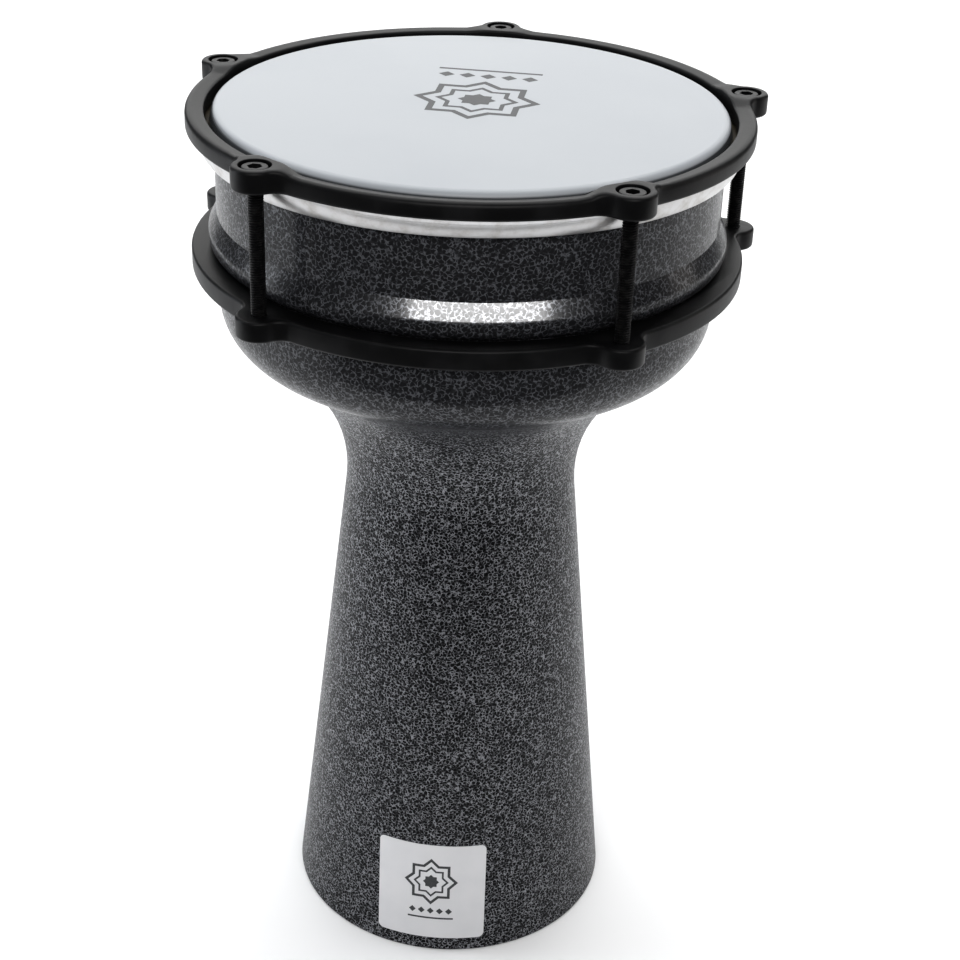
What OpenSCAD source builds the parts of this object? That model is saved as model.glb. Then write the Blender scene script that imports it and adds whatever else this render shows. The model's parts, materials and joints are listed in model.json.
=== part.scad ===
// Goblet drum (darbuka) with a synthetic head. The head is pulled down over the
// bowl's rim by a cast hoop, whose five ears are drawn towards the ears of a
// lower ring by socket-head tension bolts.
// Millimetres. +Z is up, z = 0 is the floor, the front is -Y and the drum's
// axis is the Z axis.

/* [Stem and foot] */
// Outer diameter of the foot at the floor
foot_d = 146.6; // [126:0.2:180]
// Outer diameter of the neck at its narrowest
neck_d = 100.9; // [84:0.1:116]
// Height of the neck's narrowest point above the floor
neck_h = 219.4; // [150:0.2:300]
// Radius of the curve that opens from the neck to the bowl
flare_r = 68; // [50:1:85]
// Wall thickness of the stem
stem_wall = 3; // [2:0.1:5]
// Rounding of the foot's outer edge
rim_round = 1.6; // [0.4:0.1:1.8]

/* [Bowl] */
// Outer diameter of the bowl's wall
bowl_d = 207; // [180:0.5:250]
// Radius of the curve between the bowl's wall and its underside
bowl_round = 24.5; // [15:0.5:34]
// Height of the wall from that curve up to the shoulder
lower_wall_h = 28.7; // [16:0.1:60]
// Height of the wall from the shoulder up to the rim
upper_wall_h = 50.5; // [36:0.5:110]
// Wall thickness of the bowl
bowl_wall = 3; // [2:0.1:5]
// Rounding of the bearing edge, where the head bends over the rim
bearing_round = 2.4; // [0.8:0.1:3]

/* [Shoulder] */
// How far the shoulder stands out from the wall
shoulder_out = 3.4; // [1.5:0.1:7]
// Height of the sloping flank above the shoulder
shoulder_flank = 7; // [4:0.5:16]
// Rounding between that flank and the band below it
shoulder_round = 4; // [0.5:0.5:8]
// Height of the straight band at the shoulder's widest
shoulder_band = 3; // [0.5:0.1:6]
// Height of the rounded underside that the lower ring bears on
shoulder_under = 4.5; // [2:0.5:9]

/* [Seam between bowl and stem] */
// Length of the lap inside the seam
seam_lap = 7; // [3:0.5:12]
// Width of the line that shows outside
seam_line = 0.4; // [0.1:0.1:1]

/* [Head] */
// Thickness of the film
film_t = 0.5; // [0.2:0.05:1]
// Depth of the film below the flat tops of the hoop's ears
film_drop = 1.3; // [0:0.1:3]
// Height of the aluminium flesh hoop
channel_h = 8.1; // [7:0.1:14]
// Radial width of the flesh hoop
channel_w = 7.4; // [6:0.1:10]
// Wall thickness of the flesh hoop
channel_wall = 1; // [0.8:0.1:1.3]
// Height of the flesh hoop's straight outer band, above its bevel
channel_band = 2.4; // [1.6:0.1:4]
// Width of the bevel at the flesh hoop's lower edge
channel_bevel = 2.6; // [0.5:0.1:3.2]
// Depth and height of the groove between that band and the bevel
channel_groove = 0.4; // [0.1:0.1:0.8]

/* [Top hoop] */
// Radial width of the hoop
hoop_w = 7.6; // [6:0.1:12]
// Height of the hoop's ears
hoop_t = 8.9; // [7.6:0.1:12]
// How far the ears stand above the hoop between them
ear_rise = 0.4; // [0.2:0.1:2.4]
// Rounding of the hoop's outer upper edge, between its ears
hoop_crown = 2.8; // [0.6:0.1:4]
// Rounding of the hoop's inner upper edge, between its ears
hoop_inner = 2.2; // [0.6:0.1:3]
// Width of the hoop's seat on the flesh hoop
hoop_seat = 4.25; // [2.6:0.05:5]

/* [Lower ring] */
// Radial width of the ring
ring_w = 10.2; // [7:0.1:15]
// Height of the ring and of its ears
ring_t = 8.5; // [5:0.1:12]

/* [Ears of both castings] */
// Direction of the first ear, turned from +X towards +Y
first_ear = -60; // [-90:1:90]
// Outer diameter of an ear
ear_d = 18.2; // [16:0.1:22]
// How much wider an ear is at its root, on either side
ear_flare = 1.5; // [0:0.1:3]
// Radius of the curves that blend an ear into its ring
ear_blend = 7; // [3:0.5:12]
// Width of the broken edges of the castings
edge_break = 1; // [0.4:0.1:1.4]

/* [Tension bolts] */
// Shank diameter, an M6 thread
bolt_d = 6; // [5:0.5:7]
// Diameter of the cylindrical head
head_d = 10; // [9:0.5:12]
// Height of the head
head_h = 4; // [3:0.1:5]
// Hexagon socket, across its flats
socket_af = 5; // [4:0.5:6]
// Depth of the hexagon socket
socket_deep = 2.4; // [1:0.1:2.6]
// Depth of the head's top below the ear's top
head_sunk = 0.6; // [0:0.1:1]
// Height of the bolt's end above the lower ring's underside
end_sunk = 1.4; // [0:0.1:2.5]

/* [Clearances] */
// Room around the bowl's wall, inside the flesh hoop and the lower ring
wall_gap = 0.3; // [0.2:0.05:0.6]
// Room between the flesh hoop and a bolt's shank
bolt_room = 1.8; // [1.2:0.1:4]
// Room between the rim and the film
film_gap = 0.2; // [0.1:0.05:0.4]
// Room around a bolt's shank in the hoop's ear
shank_gap = 0.3; // [0.1:0.05:0.6]
// Running room around a bolt's thread in the lower ring's ear
thread_gap = 0.05; // [0.02:0.01:0.1]
// Room around a bolt's head in its counterbore
head_gap = 1.2; // [0.3:0.1:1.5]
// Room under a bolt's head, and between seated pieces
seat_gap = 0.05; // [0.01:0.01:0.1]

/* [Hidden] */

$fn = 96;
arc_step = 6;          // largest turn between two points of an arc, in degrees
ear_count = 5;
ear_angle = 360 / ear_count;
over = 1;              // how far a cutting tool runs past the face that it opens
small_break = 0.5;     // broken edges of the bolts and of the rim's inside
blend_bite = 0.1;      // how far a blend circle runs into its ring and its ear
web_step = 0.2;        // how far the hoop's webs stay below the rounding of its edge

// The goblet's outline is a string of tangent arcs and lines in the half plane
// [radius, height]: the foot's edge, the stem's cone, the flare round a centre
// outside the neck, the bowl's round and the wall.
bowl_r = bowl_d / 2;
flare_c = [neck_d / 2 + flare_r, neck_h];
rim_c = [foot_d / 2 - rim_round, rim_round];
rim_to_flare = flare_c - rim_c;
cone_lean = atan2(rim_to_flare.y, rim_to_flare.x) - acos((flare_r + rim_round) / norm(rim_to_flare));
round_x = bowl_r - bowl_round;
round_c = [round_x, neck_h + sqrt(pow(flare_r + bowl_round, 2) - pow(flare_c.x - round_x, 2))];
flare_end = atan2(round_c.y - flare_c.y, round_c.x - flare_c.x);
cone_at = (rim_c.x * cos(cone_lean) + rim_c.y * sin(cone_lean)) + rim_round;
foot_inner_r = (cone_at - stem_wall) / cos(cone_lean);

// Heights, from the bowl's round up
shoulder_z = round_c.y + lower_wall_h;
ring_seat_z = shoulder_z - shoulder_band / 2 - shoulder_under;
rim_z = shoulder_z + upper_wall_h;
film_z = rim_z + film_gap;
bearing_corner = min(bearing_round, bowl_wall - small_break);
bearing_c = [bowl_r - bearing_corner, rim_z - bearing_corner];
hoop_top = film_z + film_t + film_drop;
hoop_z = hoop_top - hoop_t;
channel_z = hoop_z - channel_h;
band_z = hoop_z - channel_band;
ring_top = ring_seat_z - seat_gap;
ring_z = ring_top - ring_t;

// Radii, from the bowl's wall out
channel_in = bowl_r + wall_gap;
channel_out = channel_in + channel_w;
collar_in = channel_in + channel_wall + seat_gap;
collar_out = collar_in + film_t;
hoop_in = channel_out - hoop_seat;
hoop_out = hoop_in + hoop_w;
ring_in = bowl_r + wall_gap;
ring_out = ring_in + ring_w;
bolt_r = channel_out + bolt_room + bolt_d / 2;

// The shoulder's flank leans out from the wall, and an arc joins it to the band
flank_lean = atan(shoulder_out / shoulder_flank);
crest_round = min(shoulder_round, shoulder_band / 2 / tan(flank_lean / 2));

// The seam's lap is half of the wall, shared by both shells
lap_r = flare_r + stem_wall / 2;
lap_angle = seam_lap / lap_r * 180 / PI;
line_angle = seam_line / flare_r * 180 / PI;
fit_angle = seat_gap / lap_r * 180 / PI;

// Bolts
head_top = hoop_top - head_sunk;
head_z = head_top - head_h;
bolt_end = ring_z + end_sunk;
bore_floor = head_z - seat_gap;

function polar(r, a) = r * [cos(a), sin(a)];
function arc(c, r, from, to) =
    let (n = max(2, ceil(abs(to - from) / arc_step)))
    [for (i = [0:n]) c + polar(r, from + (to - from) * i / n)];

module turned(points) {
    rotate_extrude() polygon(points);
}

module at_ears() {
    for (i = [0:ear_count - 1]) rotate(first_ear + i * ear_angle) children();
}

/* ---- shell ---- */
module bowl_shell() {
    wide_r = bowl_r + shoulder_out;
    flank_z = shoulder_z + shoulder_band / 2;
    crest_c = [wide_r - crest_round, flank_z - crest_round * tan(flank_lean / 2)];
    under_z = shoulder_z - shoulder_band / 2;
    in_r = bowl_r - bowl_wall;
    lap_wall = stem_wall / 2 - seat_gap;
    color([0.25, 0.26, 0.28]) turned(concat(
        arc(flare_c, lap_r + seat_gap, flare_end, flare_end + lap_angle),
        arc(flare_c, lap_r + seat_gap + lap_wall, flare_end + lap_angle, flare_end),
        arc(round_c, bowl_round - bowl_wall, flare_end - 180, 0),
        [[in_r, rim_z - small_break], [in_r + small_break, rim_z]],
        arc(bearing_c, bearing_corner, 90, 0),
        [[bowl_r, flank_z + shoulder_flank]],
        arc(crest_c, crest_round, flank_lean, 0),
        [for (a = [0:15:90]) [bowl_r + shoulder_out * cos(a), under_z - shoulder_under * sin(a)]],
        arc(round_c, bowl_round, 0, flare_end - 180)));
}

module stem_shell() {
    color([0.22, 0.23, 0.25]) turned(concat(
        [[foot_inner_r, 0]],
        arc(rim_c, rim_round, -90, cone_lean),
        arc(flare_c, flare_r, 180 + cone_lean, flare_end + line_angle),
        arc(flare_c, lap_r, flare_end + line_angle, flare_end + lap_angle + fit_angle),
        arc(flare_c, flare_r + stem_wall, flare_end + lap_angle + fit_angle, 180 + cone_lean)));
}

/* ---- castings ---- */
// Outline of an ear: a disc on the bolt's axis, and a root that widens to the bore
module ear_outline(r_in) {
    root = r_in - over;
    wide = ear_d / 2 + ear_flare;
    translate([bolt_r, 0]) circle(ear_d / 2);
    polygon([[root, -wide], [bolt_r, -ear_d / 2], [bolt_r, ear_d / 2], [root, wide]]);
}

// Outline of the web between an ear and its ring. It is hollowed on both sides by
// a circle that touches ring and ear.
module web_outline(r_in, r_out) {
    far = r_out + ear_blend;
    near = ear_d / 2 + ear_blend;
    turn = acos((far * far + bolt_r * bolt_r - near * near) / (2 * far * bolt_r));
    root = (r_in + r_out) / 2;
    difference() {
        polygon([polar(root, -turn), polar(far, -turn), [bolt_r, 0], polar(far, turn), polar(root, turn)]);
        for (side = [-1, 1]) translate(polar(far, side * turn)) circle(ear_blend + blend_bite);
    }
}

// Cutter for the bore of a casting of height t, which also breaks the bore's edges
module bore(r_in, t) {
    turned([
        [0, -over], [r_in + edge_break + over, -over], [r_in, edge_break],
        [r_in, t - edge_break], [r_in + edge_break + over, t + over], [0, t + over]]);
}

// Flat ring, as high as its ears
module lower_ring() {
    color([0.07, 0.07, 0.075]) translate([0, 0, ring_z]) difference() {
        linear_extrude(ring_t) {
            circle(ring_out);
            at_ears() {
                web_outline(ring_in, ring_out);
                ear_outline(ring_in);
            }
        }
        bore(ring_in, ring_t);
        at_ears() translate([bolt_r, 0, -over]) cylinder(r = bolt_d / 2 + thread_gap, h = ring_t + 2 * over);
    }
}

// Hoop whose upper edges are rounded between its ears. Its webs end just below the
// outer rounding, and its flat-topped ears stand a little above it.
module top_hoop() {
    band_h = hoop_t - ear_rise;
    color([0.07, 0.07, 0.075]) translate([0, 0, hoop_z]) difference() {
        union() {
            turned(concat(
                [[0, 0], [hoop_out, 0]],
                [for (a = [0:15:90]) [hoop_out - hoop_crown, band_h - hoop_crown] + polar(hoop_crown, a)],
                [for (a = [90:15:180]) [hoop_in + hoop_inner, band_h - hoop_inner] + polar(hoop_inner, a)],
                [[0, band_h - hoop_inner]]));
            at_ears() {
                linear_extrude(band_h - hoop_crown - web_step) web_outline(hoop_in, hoop_out);
                linear_extrude(hoop_t) ear_outline(hoop_in);
            }
        }
        bore(hoop_in, hoop_t);
        at_ears() translate([bolt_r, 0, 0]) {
            translate([0, 0, -over]) cylinder(r = bolt_d / 2 + shank_gap, h = hoop_t + over);
            translate([0, 0, bore_floor - hoop_z])
                cylinder(r = head_d / 2 + head_gap, h = hoop_top - bore_floor + over);
        }
    }
}

/* ---- head ---- */
// Aluminium channel, open at the top, bevelled outside at its lower edge
module flesh_hoop() {
    floor_z = channel_z + channel_wall;
    color([0.78, 0.79, 0.80]) turned([
        [channel_in, channel_z],
        [channel_out - channel_bevel, channel_z],
        [channel_out - channel_groove, band_z - channel_groove],
        [channel_out - channel_groove, band_z],
        [channel_out, band_z],
        [channel_out, hoop_z],
        [channel_out - channel_wall - channel_groove, hoop_z],
        [channel_out - channel_wall - channel_groove, band_z - channel_groove],
        [channel_out - channel_wall - channel_bevel, floor_z],
        [channel_in + channel_wall, floor_z],
        [channel_in + channel_wall, hoop_z],
        [channel_in, hoop_z]]);
}

// Film: flat playing surface, bent over the rim, with a collar into the channel
module head_film() {
    tail_z = channel_z + 2 * channel_wall;
    color([0.86, 0.88, 0.90]) turned(concat(
        [[0, film_z]],
        arc(bearing_c, bearing_corner + film_gap, 90, 10),
        [[collar_in, hoop_z], [collar_in, tail_z], [collar_out, tail_z], [collar_out, hoop_z]],
        arc(bearing_c, bearing_corner + film_gap + film_t, 10, 90),
        [[0, film_z + film_t]]));
}

// Cast resin that locks the film's edge in the channel
module head_resin() {
    fill_z = hoop_z - channel_wall;
    tail_z = channel_z + 2 * channel_wall;
    wall_x = channel_out - channel_wall - channel_groove - seat_gap;
    low_z = channel_z + channel_wall + seat_gap;
    color([0.75, 0.68, 0.50]) turned([
        [collar_in, low_z],
        [channel_out - channel_wall - channel_bevel - seat_gap, low_z],
        [wall_x, band_z - channel_groove],
        [wall_x, fill_z],
        [collar_out + seat_gap, fill_z],
        [collar_out + seat_gap, tail_z - seat_gap],
        [collar_in, tail_z - seat_gap]]);
}

/* ---- tension bolts ---- */
module tension_bolt(i) {
    color([0.09, 0.09, 0.095]) rotate(first_ear + (i - 1) * ear_angle) translate([bolt_r, 0, 0]) difference() {
        turned([
            [0, bolt_end],
            [bolt_d / 2 - small_break, bolt_end],
            [bolt_d / 2, bolt_end + small_break],
            [bolt_d / 2, head_z],
            [head_d / 2, head_z],
            [head_d / 2, head_top - small_break],
            [head_d / 2 - small_break, head_top],
            [0, head_top]]);
        translate([0, 0, head_top - socket_deep])
            cylinder(r = socket_af / 2 / cos(30), h = socket_deep + over, $fn = 6);
    }
}

module tension_bolt_1() { tension_bolt(1); }
module tension_bolt_2() { tension_bolt(2); }
module tension_bolt_3() { tension_bolt(3); }
module tension_bolt_4() { tension_bolt(4); }
module tension_bolt_5() { tension_bolt(5); }

bowl_shell();
stem_shell();
lower_ring();
top_hoop();
flesh_hoop();
head_film();
head_resin();
tension_bolt_1();
tension_bolt_2();
tension_bolt_3();
tension_bolt_4();
tension_bolt_5();
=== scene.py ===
import json
import math

import bmesh
import bpy
from mathutils import Matrix, Vector


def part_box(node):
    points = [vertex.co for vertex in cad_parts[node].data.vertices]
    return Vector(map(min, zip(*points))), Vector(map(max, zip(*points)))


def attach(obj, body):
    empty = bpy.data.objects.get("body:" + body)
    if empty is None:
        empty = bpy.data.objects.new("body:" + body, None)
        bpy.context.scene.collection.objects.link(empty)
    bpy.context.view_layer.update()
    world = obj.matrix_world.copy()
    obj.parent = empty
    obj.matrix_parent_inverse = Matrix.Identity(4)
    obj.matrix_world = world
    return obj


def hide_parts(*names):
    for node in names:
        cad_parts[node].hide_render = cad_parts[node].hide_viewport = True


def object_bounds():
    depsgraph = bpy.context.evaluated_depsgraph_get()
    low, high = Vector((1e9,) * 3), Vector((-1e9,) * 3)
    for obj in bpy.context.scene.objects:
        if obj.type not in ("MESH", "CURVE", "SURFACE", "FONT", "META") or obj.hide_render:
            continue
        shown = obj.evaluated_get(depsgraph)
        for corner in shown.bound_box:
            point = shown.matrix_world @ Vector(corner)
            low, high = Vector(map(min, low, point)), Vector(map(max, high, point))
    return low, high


mm = 0.001

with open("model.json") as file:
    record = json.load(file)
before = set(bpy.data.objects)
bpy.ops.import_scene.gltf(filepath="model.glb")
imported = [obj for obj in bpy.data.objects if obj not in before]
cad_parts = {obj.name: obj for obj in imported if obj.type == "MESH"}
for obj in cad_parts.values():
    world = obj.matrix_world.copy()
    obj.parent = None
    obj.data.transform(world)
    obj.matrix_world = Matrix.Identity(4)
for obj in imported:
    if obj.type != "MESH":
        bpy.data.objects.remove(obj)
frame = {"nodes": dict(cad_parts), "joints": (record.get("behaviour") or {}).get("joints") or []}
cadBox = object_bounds()
nodes = frame["nodes"]
boltNames = sorted(name for name in nodes if name.startswith("tension_bolt_"))
boltPlaces = [Vector(joint["pos_m"]) for joint in frame["joints"] if joint["type"] == "hinge"]
print("frame loaded:", len(nodes), "nodes,", len(boltPlaces), "bolts")


# camera
camera = {"right": 0, "back": 0.7237, "above": 0.2208,   # place, metres from the axis and over the hoop's top
          "down": 28.59, "turn": 0.69, "roll": 2.08,     # degrees
          "lens": 69.16, "sensor": 36}                   # mm


def setCamera():
    data = bpy.data.cameras.new("camera")
    data.lens, data.sensor_width = camera["lens"], camera["sensor"]
    obj = bpy.data.objects.new("camera", data)
    bpy.context.scene.collection.objects.link(obj)
    down, turn, roll = (math.radians(camera[key]) for key in ("down", "turn", "roll"))
    ahead = Vector((math.sin(turn) * math.cos(down), math.cos(turn) * math.cos(down), -math.sin(down)))
    level = Vector((math.cos(turn), -math.sin(turn), 0))
    upright = level.cross(ahead)
    right = math.cos(roll) * level + math.sin(roll) * upright
    up = -math.sin(roll) * level + math.cos(roll) * upright
    place = Vector((camera["right"], -camera["back"], cadBox[1].z + camera["above"]))
    obj.matrix_world = Matrix.Translation(place) @ Matrix((right, up, -ahead)).transposed().to_4x4()
    bpy.context.scene.camera = obj


setCamera()


# selecting and finishing, shared by all pieces
weldGap = {"loose": 0.002 * mm, "turned": 0.005 * mm}  # points this near are one: in a CAD mesh, after a spin
sameHeight = 0.01 * mm


def activate(obj):
    for other in bpy.context.selected_objects:
        other.select_set(False)
    obj.select_set(True)
    bpy.context.view_layer.objects.active = obj


def openMesh(obj):
    activate(obj)
    bpy.ops.object.mode_set(mode="EDIT")
    bpy.ops.mesh.select_mode(type="VERT")
    bpy.ops.mesh.select_all(action="DESELECT")


def closeMesh():
    bpy.ops.object.mode_set(mode="OBJECT")


def selectAll():
    bpy.ops.mesh.select_all(action="SELECT")


def pick(obj, kind, test):
    bpy.ops.mesh.select_all(action="DESELECT")
    bpy.ops.mesh.select_mode(type=kind)
    mesh = bmesh.from_edit_mesh(obj.data)
    for part in {"EDGE": mesh.edges, "FACE": mesh.faces}[kind]:
        if test(part):
            part.select_set(True)
    bmesh.update_edit_mesh(obj.data)


def weld(gap):
    selectAll()
    bpy.ops.mesh.remove_doubles(threshold=gap)


def cutAt(place, normal, **kept):
    selectAll()
    bpy.ops.mesh.bisect(plane_co=place, plane_no=normal, **kept)


def faceOutwards():
    selectAll()
    bpy.ops.mesh.normals_make_consistent(inside=False)


def applyModifier(obj, kind, **settings):
    activate(obj)
    modifier = obj.modifiers.new(kind.lower(), kind)
    for key, value in settings.items():
        setattr(modifier, key, value)
    bpy.ops.object.modifier_apply(modifier=modifier.name)


def applyPlace(obj):
    activate(obj)
    bpy.ops.object.transform_apply(location=True, rotation=True, scale=True)


def smooth(obj, degrees):
    activate(obj)
    bpy.ops.object.shade_smooth_by_angle(angle=math.radians(degrees))


def dress(obj, name, body, slot, *materials):
    obj.name = obj.data.name = name
    obj.data.materials.clear()
    for material in materials:
        obj.data.materials.append(material)
    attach(obj, body)


def looseCopy(node):
    obj = bpy.data.objects.new(node + "_copy", nodes[node].data.copy())
    bpy.context.scene.collection.objects.link(obj)
    obj.data.materials.clear()
    openMesh(obj)
    bpy.ops.mesh.customdata_custom_splitnormals_clear()
    weld(weldGap["loose"])
    closeMesh()
    return obj


# shader nodes
class Wire:  # one output of a node, with the arithmetic that the finishes need
    def __init__(self, finish, socket):
        self.finish, self.socket = finish, socket

    def math(self, operation, *values):
        return self.finish.add("ShaderNodeMath", {"operation": operation}, dict(enumerate(values)))

    def __add__(self, other):
        return self.math("ADD", self, other)

    def __sub__(self, other):
        return self.math("SUBTRACT", self, other)

    def __mul__(self, other):
        return self.math("MULTIPLY", self, other)

    def __pow__(self, other):
        return self.math("POWER", self, other)

    def __radd__(self, other):
        return self.math("ADD", other, self)

    def __rsub__(self, other):
        return self.math("SUBTRACT", other, self)

    def __rmul__(self, other):
        return self.math("MULTIPLY", other, self)

    def away(self, level):
        return self.math("ABSOLUTE", self - level)

    def ramp(self, low, high, start=0.0, end=1.0):  # smooth step from start at low to end at high
        values = {"Value": self, "From Min": low, "From Max": high, "To Min": start, "To Max": end}
        return self.finish.add("ShaderNodeMapRange", {"interpolation_type": "SMOOTHSTEP"}, values)


class Finish:
    def __init__(self, name, **uniform):
        self.material = bpy.data.materials.new(name)
        self.material.use_nodes = True
        self.tree = self.material.node_tree
        self.shader = self.tree.nodes["Principled BSDF"]
        for key, value in uniform.items():
            self.shader.inputs[key.replace("_", " ")].default_value = value

    def add(self, kind, settings, inputs, output=0):
        node = self.tree.nodes.new(kind)
        for key, value in settings.items():
            setattr(node, key, value)
        for key, value in inputs.items():
            self.feed(self.find(node.inputs, key), value)
        return Wire(self, self.find(node.outputs, output))

    def find(self, sockets, key):
        if isinstance(key, int):
            return [socket for socket in sockets if socket.enabled][key]
        return next(socket for socket in sockets if socket.enabled and socket.name == key)

    def feed(self, socket, value):
        if isinstance(value, Wire):
            self.tree.links.new(value.socket, socket)
        elif hasattr(value, "__len__") and len(value) == 3 and socket.type == "RGBA":
            socket.default_value = (*value, 1)
        else:
            socket.default_value = value

    def drive(self, **wires):
        for key, value in wires.items():
            self.feed(self.shader.inputs[key.replace("_", " ")], value)

    def place(self):
        return self.add("ShaderNodeTexCoord", {}, {}, "Object")

    def xyz(self, vector):
        split = self.add("ShaderNodeSeparateXYZ", {}, {0: vector}).socket.node
        return [Wire(self, socket) for socket in split.outputs]

    def fromAxis(self, x, y):
        return (x * x + y * y) ** 0.5

    def noise(self, vector, size, detail=2.0, rough=0.5, seed=0.0, output="Fac"):
        values = {"Vector": vector, "W": seed, "Scale": 1 / size, "Detail": detail, "Roughness": rough}
        return self.add("ShaderNodeTexNoise", {"noise_dimensions": "4D"}, values, output)

    def mix(self, factor, first, second):
        return self.add("ShaderNodeMix", {"data_type": "RGBA"}, {"Factor": factor, "A": first, "B": second})

    def bump(self, height, depth, strength):
        return self.add("ShaderNodeBump", {}, {"Height": height, "Distance": depth, "Strength": strength})


# finishes: sizes of grain and clouds, depth of relief, and colours from one to the other
hammer = {
    "bowl": {"cell": 1.9 * mm, "ground": (0.011, 0.0112, 0.0128), "silver": (0.105, 0.108, 0.118),
             "shine": 0.30, "metal": 0.25, "gloss": 0.26},
    "stem": {"cell": 1.5 * mm, "ground": (0.002, 0.0021, 0.003), "silver": (0.28, 0.285, 0.305),
             "shine": 0.38, "metal": 0.35, "gloss": 0.07},
    "line": (0.02, 0.155),                       # edges of a vein, in cells from its middle
    "drift": 0.8, "gaps": 0.7, "grain": 0.22,    # what bends, breaks and speckles the veins, in cells
    "broken": (0.37, 0.6, 0.1, 1.0), "speckled": (0.2, 0.7, 0.6, 1.2),
    "cloud": 35 * mm, "relief": 0.04 * mm}


def hammertone(part):
    look = hammer[part]
    cell = look["cell"]
    f = Finish("hammertone_" + part, Specular_IOR_Level=0.1, Coat_Roughness=0.16)
    place = f.place()
    drift = f.noise(place, cell * hammer["drift"], detail=1.0, output="Color")
    bent = f.add("ShaderNodeVectorMath", {"operation": "MULTIPLY_ADD"}, {0: drift, 1: [cell] * 3, 2: place})
    edge = f.add("ShaderNodeTexVoronoi", {"feature": "DISTANCE_TO_EDGE"}, {"Vector": bent, "Scale": 1 / cell},
                 "Distance")
    gaps = f.noise(place, cell * hammer["gaps"], detail=1.0, seed=2.3).ramp(*hammer["broken"])
    grain = f.noise(place, cell * hammer["grain"]).ramp(*hammer["speckled"])
    vein = edge.ramp(*hammer["line"], 1.0, 0.0) * gaps * grain
    cloud = f.noise(place, hammer["cloud"])
    f.drive(Base_Color=f.mix(vein, look["ground"], look["silver"]),
            Metallic=vein * look["metal"],
            Roughness=look["shine"] + 0.1 * cloud - vein * 0.06,
            Coat_Weight=look["gloss"] + vein * 0.2,
            Normal=f.bump(edge.ramp(0.0, 0.3) * 0.8 + grain * 0.2, hammer["relief"], 0.8))
    return f.material


bore = {"dark": (0.02, 0.02, 0.022), "light": (0.075, 0.077, 0.08), "speckle": 0.8 * mm, "cloud": 25 * mm,
        "relief": 0.06 * mm, "shine": 0.7}


def insidePaint():
    f = Finish("inside_paint", Specular_IOR_Level=0.3)
    place = f.place()
    speckle = f.noise(place, bore["speckle"], detail=4.0)
    cloud = f.noise(place, bore["cloud"], detail=3.0)
    dust = speckle.ramp(0.35, 0.7) * cloud.ramp(0.3, 0.7, 0.4, 1.0)
    f.drive(Base_Color=f.mix(dust, bore["dark"], bore["light"]),
            Roughness=bore["shine"] + cloud * 0.15,
            Normal=f.bump(speckle, bore["relief"], 0.7))
    return f.material


coat = {"black": (0.0045, 0.0045, 0.005), "worn": (0.018, 0.018, 0.019), "peel": 0.9 * mm, "cloud": 18 * mm,
        "relief": 0.03 * mm, "shine": 0.36}


def powderCoat():
    f = Finish("powder_coat", Specular_IOR_Level=0.22)
    place = f.place()
    peel = f.noise(place, coat["peel"])
    cloud = f.noise(place, coat["cloud"], detail=3.0)
    f.drive(Base_Color=f.mix(cloud.ramp(0.45, 0.75) * 0.5, coat["black"], coat["worn"]),
            Roughness=coat["shine"] + cloud * 0.08 + peel * 0.05,
            Normal=f.bump(peel, coat["relief"], 0.5))
    return f.material


bare = {"clean": (0.54, 0.538, 0.54), "dull": (0.42, 0.405, 0.39), "lines": 0.25 * mm, "scuff": 6 * mm,
        "relief": 0.012 * mm, "shine": 0.24}


def aluminium():
    f = Finish("turned_aluminium", Metallic=1.0)
    place = f.place()
    x, y, z = f.xyz(place)
    turned = f.add("ShaderNodeCombineXYZ", {}, {0: f.fromAxis(x, y), 1: 0.0, 2: z})  # lines run round the axis
    lines = f.noise(turned, bare["lines"], detail=3.0, rough=0.7)
    scuff = f.noise(place, bare["scuff"], detail=4.0, rough=0.65)
    f.drive(Base_Color=f.mix(scuff.ramp(0.4, 0.75), bare["clean"], bare["dull"]),
            Roughness=bare["shine"] + lines * 0.12 + scuff.ramp(0.45, 0.8) * 0.16,
            Normal=f.bump(lines, bare["relief"], 0.6))
    return f.material


film = {"coated": (0.39, 0.412, 0.436), "touched": (0.376, 0.398, 0.424), "clear": (0.095, 0.1, 0.106),
        "edge": (102.8 * mm, 104.5 * mm),      # the white coating ends between these distances
        "off": (0.5 * mm, -1.3 * mm),          # from a point this far off the axis, towards the front and right: painted highlight on the front of the bend, painted shade on its left and back
        "fade": (2.7 * mm, 1.7 * mm),          # and between these depths below the playing surface
        "ribs": (4.2 * mm, 5.0 * mm),          # depths of the two ribs
        "rib": (0.06 * mm, 0.2 * mm),          # where a rib begins to fall, and where it ends
        "grain": 0.35 * mm, "cloud": 60 * mm, "relief": 0.2 * mm}


def coatedFilm():
    f = Finish("coated_film", Specular_IOR_Level=0.5)
    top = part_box("head_film")[1].z
    place = f.place()
    x, y, z = f.xyz(place)
    grain = f.noise(place, film["grain"])
    cloud = f.noise(place, film["cloud"], detail=3.0)
    away = f.fromAxis(x - film["off"][0], y - film["off"][1])
    # the off-axis centre makes the white reach further on the front and right of the bend than on its left and
    # back: painted highlight and painted shade, not a coating edge
    white = away.ramp(*film["edge"], 1.0, 0.0) * z.ramp(*(top - depth for depth in film["fade"]))
    ribs = [z.away(top - depth).ramp(*film["rib"], 1.0, 0.0) for depth in film["ribs"]]
    coated = f.mix(cloud.ramp(0.35, 0.7), film["coated"], film["touched"])
    f.drive(Base_Color=f.mix(white, film["clear"], coated),
            Roughness=0.12 + white * 0.24 + grain * 0.1,
            Normal=f.bump(grain * 0.04 + ribs[0] + ribs[1], film["relief"], 0.5))
    return f.material


# The resin's amber is set much darker than its own colour: painted shade for the narrow gap between film and hoop
# where it shows.
cast = {"dark": (0.05, 0.042, 0.03), "light": (0.09, 0.075, 0.05), "cloud": 4 * mm, "shine": 0.35}


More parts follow.
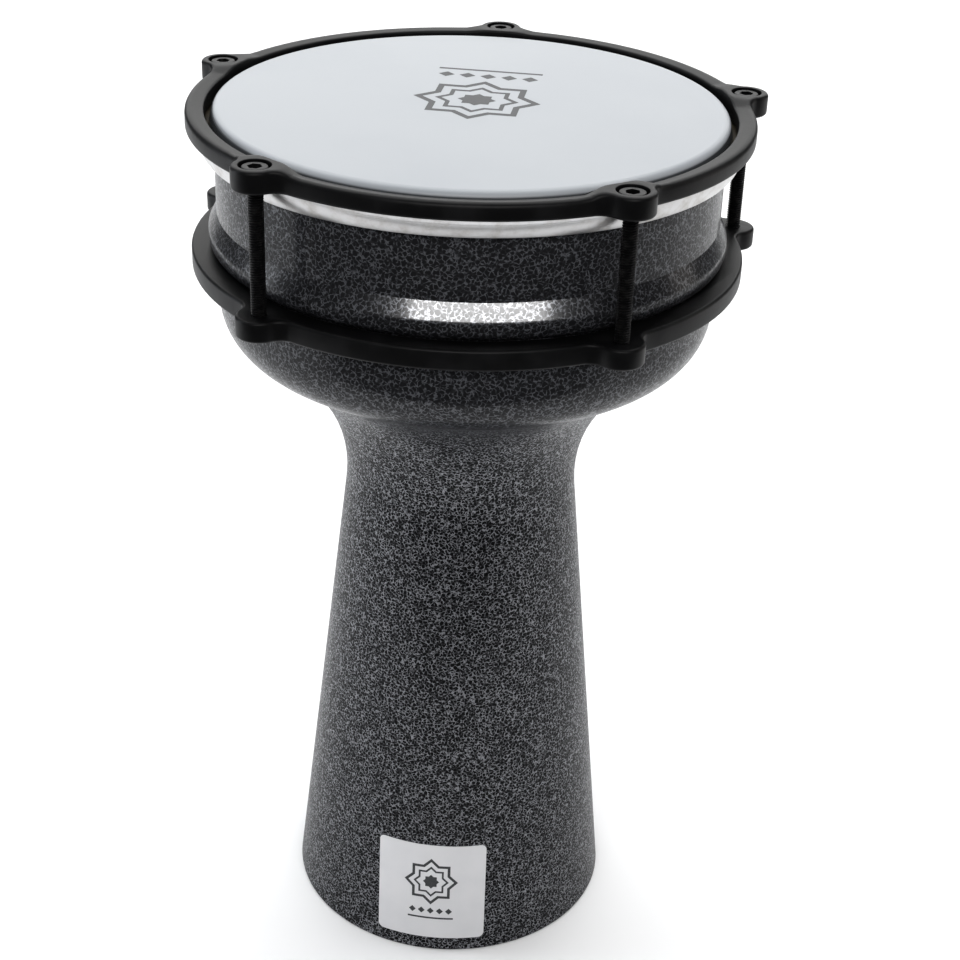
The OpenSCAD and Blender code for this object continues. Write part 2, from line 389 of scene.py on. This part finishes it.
def shadedResin():
    f = Finish("cast_resin")
    cloud = f.noise(f.place(), cast["cloud"], detail=3.0)
    f.drive(Base_Color=f.mix(cloud.ramp(0.3, 0.7), cast["dark"], cast["light"]),
            Roughness=cast["shine"] + cloud * 0.2)
    return f.material


screw = {"black": (0.012, 0.012, 0.013), "worn": (0.045, 0.044, 0.043), "cloud": 2.5 * mm, "relief": 0.01 * mm,
         "shine": 0.34}


def blackSteel():
    f = Finish("black_steel", Metallic=0.7, Specular_IOR_Level=0.5)
    cloud = f.noise(f.place(), screw["cloud"], detail=4.0, rough=0.6)
    f.drive(Base_Color=f.mix(cloud.ramp(0.4, 0.75), screw["black"], screw["worn"]),
            Roughness=screw["shine"] + cloud * 0.18,
            Normal=f.bump(cloud, screw["relief"], 0.4))
    return f.material


sticker = {"clean": (0.72, 0.72, 0.735), "handled": (0.68, 0.683, 0.70), "cloud": 14 * mm, "grain": 0.4 * mm,
           "relief": 0.05 * mm, "shine": 0.38}


def labelVinyl():
    f = Finish("label_vinyl", Specular_IOR_Level=0.5)
    place = f.place()
    cloud = f.noise(place, sticker["cloud"], detail=3.0)
    grain = f.noise(place, sticker["grain"])
    f.drive(Base_Color=f.mix(cloud.ramp(0.3, 0.7), sticker["clean"], sticker["handled"]),
            Roughness=sticker["shine"] + grain * 0.1,
            Normal=f.bump(cloud + grain * 0.1, sticker["relief"], 0.4))
    return f.material


printed = {"full": (0.045, 0.047, 0.05), "thin": (0.075, 0.078, 0.082), "grain": 0.5 * mm, "shine": 0.42}


def printInk():
    f = Finish("print_ink", Specular_IOR_Level=0.4)
    grain = f.noise(f.place(), printed["grain"], detail=3.0)
    f.drive(Base_Color=f.mix(grain.ramp(0.4, 0.8), printed["full"], printed["thin"]),
            Roughness=printed["shine"] + grain * 0.12)
    return f.material


bowlPaint, stemPaint = hammertone("bowl"), hammertone("stem")
inside = insidePaint()
blackCoat = powderCoat()
bareMetal = aluminium()
whiteFilm = coatedFilm()
resin = shadedResin()
steel = blackSteel()
vinyl, ink = labelVinyl(), printInk()
print("finishes ready:", len(bpy.data.materials))


# turned pieces: the CAD solid's section, spun again with a fine step
spun = {"steps": 240,  # round the axis
        "flat": 0.3,   # degrees: flatter corners are dropped
        "soft": 20}    # degrees: a wider angle would soften the shoulder's flank
shells = {"bowl_shell": ("hammertone_bowl", bowlPaint), "stem_shell": ("hammertone_stem", stemPaint)}


def respin(node):
    obj = looseCopy(node)
    openMesh(obj)
    cutAt((0, 0, 0), (0, 1, 0), clear_inner=True, clear_outer=True)
    cutAt((0, 0, 0), (1, 0, 0), clear_inner=True)
    weld(weldGap["turned"])
    bpy.ops.mesh.dissolve_limited(angle_limit=math.radians(spun["flat"]))
    selectAll()
    bpy.ops.mesh.spin(steps=spun["steps"], angle=math.tau, center=(0, 0, 0), axis=(0, 0, 1))
    weld(weldGap["turned"])
    faceOutwards()
    closeMesh()
    return obj


def looksInwards(face):
    return face.normal.dot(face.calc_center_median() * Vector((1, 1, 0))) < -1e-6  # below zero, so no level rim


def paintInside(obj):  # second material on every face that looks towards the axis
    openMesh(obj)
    pick(obj, "FACE", looksInwards)
    obj.active_material_index = 1
    bpy.ops.object.material_slot_assign()
    closeMesh()


def makeShells():
    for node, (slot, paint) in shells.items():
        obj = respin(node)
        dress(obj, node + "_turned", "shell", slot, paint, inside)
        paintInside(obj)
        smooth(obj, spun["soft"])
        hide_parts(node)


makeShells()
print("shells spun")


# castings: the CAD outline with its edges rounded
casting = {"lower_ring": {"ear": 1.3 * mm, "ring": 1.3 * mm, "bore": 0.6 * mm, "boreRing": 0.6 * mm},
           "top_hoop": {"ear": 1.4 * mm, "ring": 2.6 * mm, "bore": 1.0 * mm, "boreRing": 1.0 * mm},
           "underRound": 1.2 * mm, "holeRound": 0.3 * mm, "segments": 5,
           "sharp": 25, "flat": 0.5, "soft": 35,     # degrees: edges to round, seams to drop, edges to shade
           "earReach": 7.5 * mm,                     # nearer to a bolt than this an edge belongs to its hole
           "innerBand": 1.6 * mm,                    # nearer to the bore than this an edge belongs to it
           "blend": (9.5 * mm, 18.0 * mm)}           # from an ear's rounding to the ring's, by the way to a bolt
slope = {"outside": 1.5 * mm, "inside": 3.0 * mm,    # how far the hoop's top lies below the ears, at the front
         "back": 0.24,                               # what is left of that at the back
         "wide": 7.6 * mm, "cuts": 3,                # the way across the ring, and cuts for a smooth fall
         "topBand": 0.05 * mm, "facesUp": 0.999,     # what counts as the top: how high, and how level
         "seatOver": 0.7 * mm}                       # over the bolts' seats, where the plain outline begins


def wayToBolt(point):
    return min((point.xy - place.xy).length for place in boltPlaces)


def ringShare(way):  # 0 at an ear, 1 between the ears, a smooth step from one to the other
    near, far = casting["blend"]
    share = min(1, max(0, (way - near) / (far - near)))
    return share * share * (3 - 2 * share)


def seatPlan(obj, level, top):  # keeps the solid below level and draws its outline straight up to top
    openMesh(obj)
    cutAt((0, 0, level), (0, 0, 1), clear_outer=True)
    pick(obj, "EDGE", lambda edge: edge.is_boundary)
    bpy.ops.mesh.extrude_region_move(TRANSFORM_OT_translate={"value": (0, 0, top - level)})
    bpy.ops.mesh.fill(use_beauty=True)
    faceOutwards()
    closeMesh()


def sinkTop(obj, low, high):  # between the ears the hoop's top falls off towards the head, most at the front
    openMesh(obj)
    lowest = high.z - slope["topBand"]
    pick(obj, "FACE", lambda face: face.normal.z > slope["facesUp"] and face.calc_center_median().z > lowest)
    bpy.ops.mesh.quads_convert_to_tris(quad_method="BEAUTY", ngon_method="BEAUTY")
    bpy.ops.mesh.subdivide(number_cuts=slope["cuts"])
    closeMesh()
    group = obj.vertex_groups.new(name="sink")
    nearest = min(vert.co.xy.length for vert in obj.data.vertices)
    for vert in obj.data.vertices:
        if vert.co.z > (low.z + high.z) / 2:
            reach = vert.co.xy.length
            front = 0.5 - 0.5 * vert.co.y / reach
            share = ringShare(wayToBolt(vert.co)) * (slope["back"] + (1 - slope["back"]) * front)
            inward = min(1, max(0, 1 - (reach - nearest) / slope["wide"]))
            sunk = slope["outside"] + (slope["inside"] - slope["outside"]) * inward
            group.add([vert.index], share * sunk / slope["inside"], "REPLACE")
    applyModifier(obj, "DISPLACE", direction="Z", mid_level=0, strength=-slope["inside"], vertex_group="sink")


def edgeRound(edge, widths, nearest, middleHeight):  # how wide this edge of a casting is rounded
    middle = (edge.verts[0].co + edge.verts[1].co) / 2
    level = abs(edge.verts[0].co.z - edge.verts[1].co.z) < sameHeight
    sharp = len(edge.link_faces) == 2 and edge.calc_face_angle(0) > math.radians(casting["sharp"])
    if not (level and sharp):
        return 0
    way = wayToBolt(middle)
    inner = middle.xy.length < nearest + casting["innerBand"]
    if way < casting["earReach"] and not inner:
        return casting["holeRound"]
    if middle.z < middleHeight:
        return casting["holeRound"] if inner else casting["underRound"]
    share = ringShare(way)
    ear, ring = ("bore", "boreRing") if inner else ("ear", "ring")
    return widths[ear] * (1 - share) + widths[ring] * share


def makeCasting(node, body):
    low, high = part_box(node)
    widths = casting[node]
    obj = looseCopy(node)
    if node == "top_hoop":
        seatPlan(obj, boltPlaces[0].z + slope["seatOver"], high.z)
    openMesh(obj)
    selectAll()
    bpy.ops.mesh.dissolve_limited(angle_limit=math.radians(casting["flat"]), delimit={"NORMAL"})
    closeMesh()
    mesh = bmesh.new()
    mesh.from_mesh(obj.data)
    nearest = min(vert.co.xy.length for vert in mesh.verts)
    widest = max(widths["ring"], widths["boreRing"])
    weights = [edgeRound(edge, widths, nearest, (low.z + high.z) / 2) / widest for edge in mesh.edges]
    mesh.free()
    attribute = obj.data.attributes.new("bevel_weight_edge", "FLOAT", "EDGE")
    attribute.data.foreach_set("value", weights)
    applyModifier(obj, "BEVEL", width=widest, segments=casting["segments"], limit_method="WEIGHT",
                  use_clamp_overlap=False, loop_slide=False)
    if node == "top_hoop":
        sinkTop(obj, low, high)
    dress(obj, node + "_rounded", body, "black_coat", blackCoat)
    smooth(obj, casting["soft"])
    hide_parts(node)


makeCasting("lower_ring", "shell")
makeCasting("top_hoop", "hoop")
print("castings rounded")


# head: flesh hoop and film
head = {"edgeRound": 0.22 * mm, "edgeSteps": 2, "sharp": 30, "soft": 40}  # sharp and soft in degrees


def makeFleshHoop():
    obj = respin("flesh_hoop")
    applyModifier(obj, "BEVEL", width=head["edgeRound"], segments=head["edgeSteps"], limit_method="ANGLE",
                  angle_limit=math.radians(head["sharp"]))
    dress(obj, "flesh_hoop_turned", "hoop", "bare_aluminium", bareMetal)
    smooth(obj, head["soft"])
    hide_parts("flesh_hoop")


def makeFilm():
    obj = respin("head_film")
    dress(obj, "head_film_turned", "hoop", "film", whiteFilm)
    smooth(obj, head["soft"])
    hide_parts("head_film")


makeFleshHoop()
makeFilm()
nodes["head_resin"].data.materials.clear()
nodes["head_resin"].data.materials.append(resin)
print("head made")


# tension bolts
bolt = {"pitch": 1.0 * mm, "core": 2.46 * mm, "crest": 3.0 * mm, "turnSteps": 24,
        "turn": (0.12, 0.5, 0.62),      # where a turn's flank, its crest and its back begin, in pitches
        "head": 5.0 * mm, "headSteps": 48, "headRound": 0.45 * mm, "headSegments": 4, "into": 0.5 * mm,
        "socket": 2.5 * mm, "socketDeep": 2.4 * mm, "pointChamfer": 0.6 * mm,
        "next": 23,                     # degrees from one socket to the next, so that no two stop alike
        "soft": 32}


def drawLine(points):  # a chain of edges in the XZ plane, from (radius, height) pairs
    bpy.ops.mesh.primitive_plane_add(size=mm)
    obj = bpy.context.active_object
    openMesh(obj)
    selectAll()
    bpy.ops.mesh.merge(type="CENTER")
    bpy.ops.transform.translate(value=(points[0][0], 0, points[0][1]))
    for (x0, z0), (x1, z1) in zip(points, points[1:]):
        bpy.ops.mesh.extrude_region_move(TRANSFORM_OT_translate={"value": (x1 - x0, 0, z1 - z0)})
    closeMesh()
    return obj


def threadedRod(bottom, top):
    pitch, core, crest = bolt["pitch"], bolt["core"], bolt["crest"]
    flank, land, back = (share * pitch for share in bolt["turn"])
    turns = math.ceil((top - bottom) / pitch) + 2  # one more below and above, cut off again
    start = bottom - pitch
    obj = drawLine([(core, start), (core, start + flank), (crest, start + land), (crest, start + back),
                    (core, start + pitch)])
    applyModifier(obj, "SCREW", axis="Z", angle=math.tau, screw_offset=pitch, iterations=turns,
                  steps=bolt["turnSteps"], render_steps=bolt["turnSteps"], use_merge_vertices=False)
    openMesh(obj)
    weld(weldGap["turned"])
    cutAt((0, 0, bottom), (0, 0, 1), use_fill=True, clear_inner=True)
    cutAt((0, 0, top), (0, 0, 1), use_fill=True, clear_outer=True)
    faceOutwards()
    closeMesh()
    for vert in obj.data.vertices:  # chamfered point
        room = crest - bolt["pointChamfer"] + (vert.co.z - bottom)
        reach = vert.co.xy.length
        if reach > room:
            vert.co.x, vert.co.y = vert.co.x * room / reach, vert.co.y * room / reach
    return obj


def boltHead(under, top):
    bpy.ops.mesh.primitive_cylinder_add(vertices=bolt["headSteps"], radius=bolt["head"], depth=top - under,
                                        location=(0, 0, (top + under) / 2))
    obj = bpy.context.active_object
    applyPlace(obj)
    openMesh(obj)
    pick(obj, "EDGE", lambda edge: all(abs(vert.co.z - top) < sameHeight for vert in edge.verts))
    bpy.ops.mesh.bevel(offset=bolt["headRound"], segments=bolt["headSegments"])
    closeMesh()
    bpy.ops.mesh.primitive_cylinder_add(vertices=6, radius=bolt["socket"] / math.cos(math.pi / 6),
                                        depth=2 * bolt["socketDeep"], location=(0, 0, top))
    cutter = bpy.context.active_object
    applyPlace(cutter)
    applyModifier(obj, "BOOLEAN", operation="DIFFERENCE", object=cutter, solver="EXACT")
    bpy.data.objects.remove(cutter)
    return obj


def makeBolts():
    low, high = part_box(boltNames[0])
    under = boltPlaces[0].z
    rod = threadedRod(low.z, under + bolt["into"])
    cap = boltHead(under, high.z)
    activate(rod)
    cap.select_set(True)
    bpy.ops.object.join()
    for i, (name, place) in enumerate(zip(boltNames, boltPlaces)):
        obj = bpy.data.objects.new(name, rod.data.copy())
        bpy.context.scene.collection.objects.link(obj)
        facing = math.atan2(place.y, place.x) + math.radians(bolt["next"] * i)
        obj.data.transform(Matrix.Translation((place.x, place.y, 0)) @ Matrix.Rotation(facing, 4, "Z"))
        dress(obj, name + "_threaded", f"bolt_{i + 1}", "black_steel", steel)
        smooth(obj, bolt["soft"])
        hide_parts(name)
    bpy.data.objects.remove(rod)


makeBolts()
print("bolts made")


# printed star, on the head and on the label: lengths are in its radius
star = {"points": 8, "waist": 0.765, "bands": ((1.0, 0.10), (0.66, 0.07), (0.3, 0.3)),  # radius and width of each
        "diamonds": 5, "diamond": 0.13, "diamondGap": 0.34, "rowAt": -1.28,
        "bar": (1.7, 0.07), "barAt": -1.6}


def thicken(depth):  # the flat mesh in edit mode gets its upper side
    faceOutwards()
    bpy.ops.mesh.extrude_region_move(TRANSFORM_OT_translate={"value": (0, 0, depth)})
    faceOutwards()
    closeMesh()


def starBand(radius, width):
    bpy.ops.mesh.primitive_circle_add(vertices=2 * star["points"], radius=radius, fill_type="NGON")
    obj = bpy.context.active_object
    for i, vert in enumerate(obj.data.vertices):
        if i % 2:
            vert.co *= star["waist"]
    if width < radius:
        openMesh(obj)
        selectAll()
        bpy.ops.mesh.inset(thickness=width)
        bpy.ops.mesh.delete(type="FACE")
        closeMesh()
    return obj


def flatStar(size, depth, cuts):  # the whole ornament, flat on the XY plane, centred on its star
    parts = [starBand(radius, width) for radius, width in star["bands"]]
    for i in range(star["diamonds"]):
        x = (i - (star["diamonds"] - 1) / 2) * star["diamondGap"]
        bpy.ops.mesh.primitive_circle_add(vertices=4, radius=star["diamond"], fill_type="NGON",
                                          location=(x, star["rowAt"], 0))
        parts.append(bpy.context.active_object)
    bpy.ops.mesh.primitive_plane_add(size=1, location=(0, star["barAt"], 0))
    bpy.context.active_object.scale = (*star["bar"], 1)
    parts.append(bpy.context.active_object)
    activate(parts[0])
    for part in parts:
        part.select_set(True)
    bpy.ops.object.join()
    obj = bpy.context.active_object
    obj.scale = (size, size, size)
    applyPlace(obj)
    openMesh(obj)
    selectAll()
    bpy.ops.mesh.quads_convert_to_tris()
    if cuts:
        bpy.ops.mesh.subdivide(number_cuts=cuts)
    thicken(depth)
    return obj


badge = {"at": (3 * mm, 13 * mm), "shift": 8 * mm, "turn": 172,  # turned in degrees, about a point below its star
         "size": 26 * mm, "ink": 0.04 * mm}


def makeBadge():
    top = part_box("head_film")[1].z
    obj = flatStar(badge["size"], badge["ink"], 0)
    turned = Matrix.Rotation(math.radians(badge["turn"]), 4, "Z") @ Matrix.Translation((0, badge["shift"], 0))
    obj.data.transform(Matrix.Translation((*badge["at"], top)) @ turned)
    dress(obj, "head_star", "hoop", "film", ink)


makeBadge()


# label on the foot
label = {"side": 50.2 * mm, "corner": 2.6 * mm, "cornerSteps": 6, "thick": 0.16 * mm,
         "bottom": 7.3 * mm, "around": -7.9 * mm,       # height of its lower edge, and way round from the front
         "slices": 40, "inkCuts": 6,                    # cuts, so that vinyl and ink bend with the stem
         "star": 12.4 * mm, "starLift": 5.5 * mm, "ink": 0.03 * mm, "soft": 35}


def stemRadius(height):
    shell = bpy.data.objects["stem_shell_turned"]
    return shell.ray_cast(Vector((1, 0, height)), Vector((-1, 0, 0)))[1].x


def wrapOnStem(obj, lift):  # x runs round the stem, y up its slope and z out of it
    foot, top = stemRadius(label["bottom"]), stemRadius(label["bottom"] + label["side"])
    lean = math.atan2(foot - top, label["side"])
    for vert in obj.data.vertices:
        around, up, out = vert.co.x + label["around"], vert.co.y + label["side"] / 2, vert.co.z + lift
        height = label["bottom"] + up * math.cos(lean) + out * math.sin(lean)
        radius = foot - up * math.sin(lean) + out * math.cos(lean)
        angle = around / (foot - up * math.sin(lean))
        vert.co = Vector((radius * math.sin(angle), -radius * math.cos(angle), height))


def makeLabel():
    bpy.ops.mesh.primitive_plane_add(size=label["side"])
    obj = bpy.context.active_object
    openMesh(obj)
    selectAll()
    bpy.ops.mesh.bevel(offset=label["corner"], offset_type="OFFSET", segments=label["cornerSteps"],
                       affect="VERTICES")
    for axis in ((1, 0, 0), (0, 1, 0)):
        for i in range(1, label["slices"]):
            at = (i / label["slices"] - 0.5) * label["side"]
            cutAt(Vector(axis) * at, axis)
    thicken(label["thick"])
    wrapOnStem(obj, 0)
    dress(obj, "foot_label", "shell", "label", vinyl)
    smooth(obj, label["soft"])
    mark = flatStar(label["star"], label["ink"], label["inkCuts"])
    mark.data.transform(Matrix.Translation((0, label["starLift"], 0)))
    wrapOnStem(mark, label["thick"])
    dress(mark, "label_star", "shell", "label", ink)


makeLabel()
print("label and star made")


# stage
stage = {"floor": 14, "paper": (0.92, 0.925, 0.93), "clouded": 0.99, "cloud": 0.9,   # cloud in metres
         "flag": (3.0, 3.15), "flagAt": (0.0, -1.925, 0.0005), "cloth": (0.01, 0.01, 0.01),
         "world": (0.8, 0.82, 0.86), "worldStrength": 0.10, "look": "Medium High Contrast"}


def layFloor():
    bpy.ops.mesh.primitive_plane_add(size=stage["floor"])
    floor = bpy.context.active_object
    floor.name = "floor"
    f = Finish("floor_paper", Specular_IOR_Level=0.2, Roughness=0.8)
    cloud = f.noise(f.place(), stage["cloud"])
    f.drive(Base_Color=f.mix(cloud, stage["paper"], tuple(stage["clouded"] * c for c in stage["paper"])))
    floor.data.materials.append(f.material)


def layFlag():  # black cloth that only reflections see
    bpy.ops.mesh.primitive_plane_add(size=1, location=stage["flagAt"])
    flag = bpy.context.active_object
    flag.name = "flag"
    flag.scale = (*stage["flag"], 1)
    flag.visible_camera = flag.visible_diffuse = flag.visible_shadow = flag.visible_transmission = False
    f = Finish("flag_cloth", Base_Color=(*stage["cloth"], 1), Specular_IOR_Level=0.0, Roughness=0.9)
    flag.data.materials.append(f.material)


def setWorld():
    world = bpy.data.worlds.new("studio")
    world.use_nodes = True
    background = world.node_tree.nodes["Background"]
    background.inputs["Color"].default_value = (*stage["world"], 1)
    background.inputs["Strength"].default_value = stage["worldStrength"]
    bpy.context.scene.world = world
    bpy.context.scene.view_settings.view_transform = "Standard"
    bpy.context.scene.view_settings.look = stage["look"]


# lamps: place, aim and size in metres, power in watts; gloss is seen only as a shine, only names what is lit
lamps = {
    "overhead": {"at": (0.0, 1.0, 2.3), "aim": (0, 0.8, 0), "size": (3.0, 2.4), "power": 56,
                 "color": (1.0, 1.0, 1.0)},
    "key": {"at": (0.05, -1.27, 1.13), "aim": (0, 0, 0.33), "size": (1.3, 0.28), "power": 9,
            "color": (1.0, 0.99, 0.98)},
    "streak": {"at": (0.14, -1.39, 1.10), "aim": (0, -0.1, 0.33), "size": (1.6, 0.44), "power": 75,
               "color": (1.0, 1.0, 1.0), "gloss": True, "only": ("bowl_shell_turned",)},
    "card": {"at": (0.0, -1.1, 0.04), "aim": (0, -1.1, 1), "size": (2.6, 1.3), "power": 14,
             "color": (0.97, 0.98, 1.0), "gloss": True, "only": ("flesh_hoop_turned",)},
    "far": {"at": (0.0, -3.4, 2.5), "aim": (0, -3.4, 0), "size": (7.0, 3.5), "power": 85,
            "color": (1.0, 1.0, 1.0), "only": ("floor",)},
    "back": {"at": (0.0, 2.4, 1.15), "aim": (0, 0, 0.38), "size": (3.6, 1.2), "power": 23,
             "color": (1.0, 1.0, 0.99)},
    "left": {"at": (-1.4, 0.1, 0.6), "aim": (0, 0, 0.2), "size": (0.4, 1.2), "power": 6,
             "color": (0.93, 0.96, 1.0)},
    "right": {"at": (1.4, 0.3, 0.6), "aim": (0, 0, 0.2), "size": (0.4, 1.2), "power": 2.2,
              "color": (1.0, 0.95, 0.9)},
}


def setLamps():
    for name, lamp in lamps.items():
        data = bpy.data.lights.new(name, "AREA")
        data.shape = "RECTANGLE"
        data.size, data.size_y = lamp["size"]
        data.energy, data.color = lamp["power"], lamp["color"]
        obj = bpy.data.objects.new(name, data)
        bpy.context.scene.collection.objects.link(obj)
        obj.location = lamp["at"]
        obj.rotation_mode = "QUATERNION"
        obj.rotation_quaternion = (Vector(lamp["aim"]) - obj.location).to_track_quat("-Z", "Y")
        obj.visible_camera = False
        obj.visible_diffuse = not lamp.get("gloss", False)
        if "only" in lamp:
            lit = bpy.data.collections.new(name + "_lights")
            for piece in lamp["only"]:
                lit.objects.link(bpy.data.objects[piece])
            obj.light_linking.receiver_collection = lit


layFloor()
layFlag()
setWorld()
setLamps()
print("stage set")
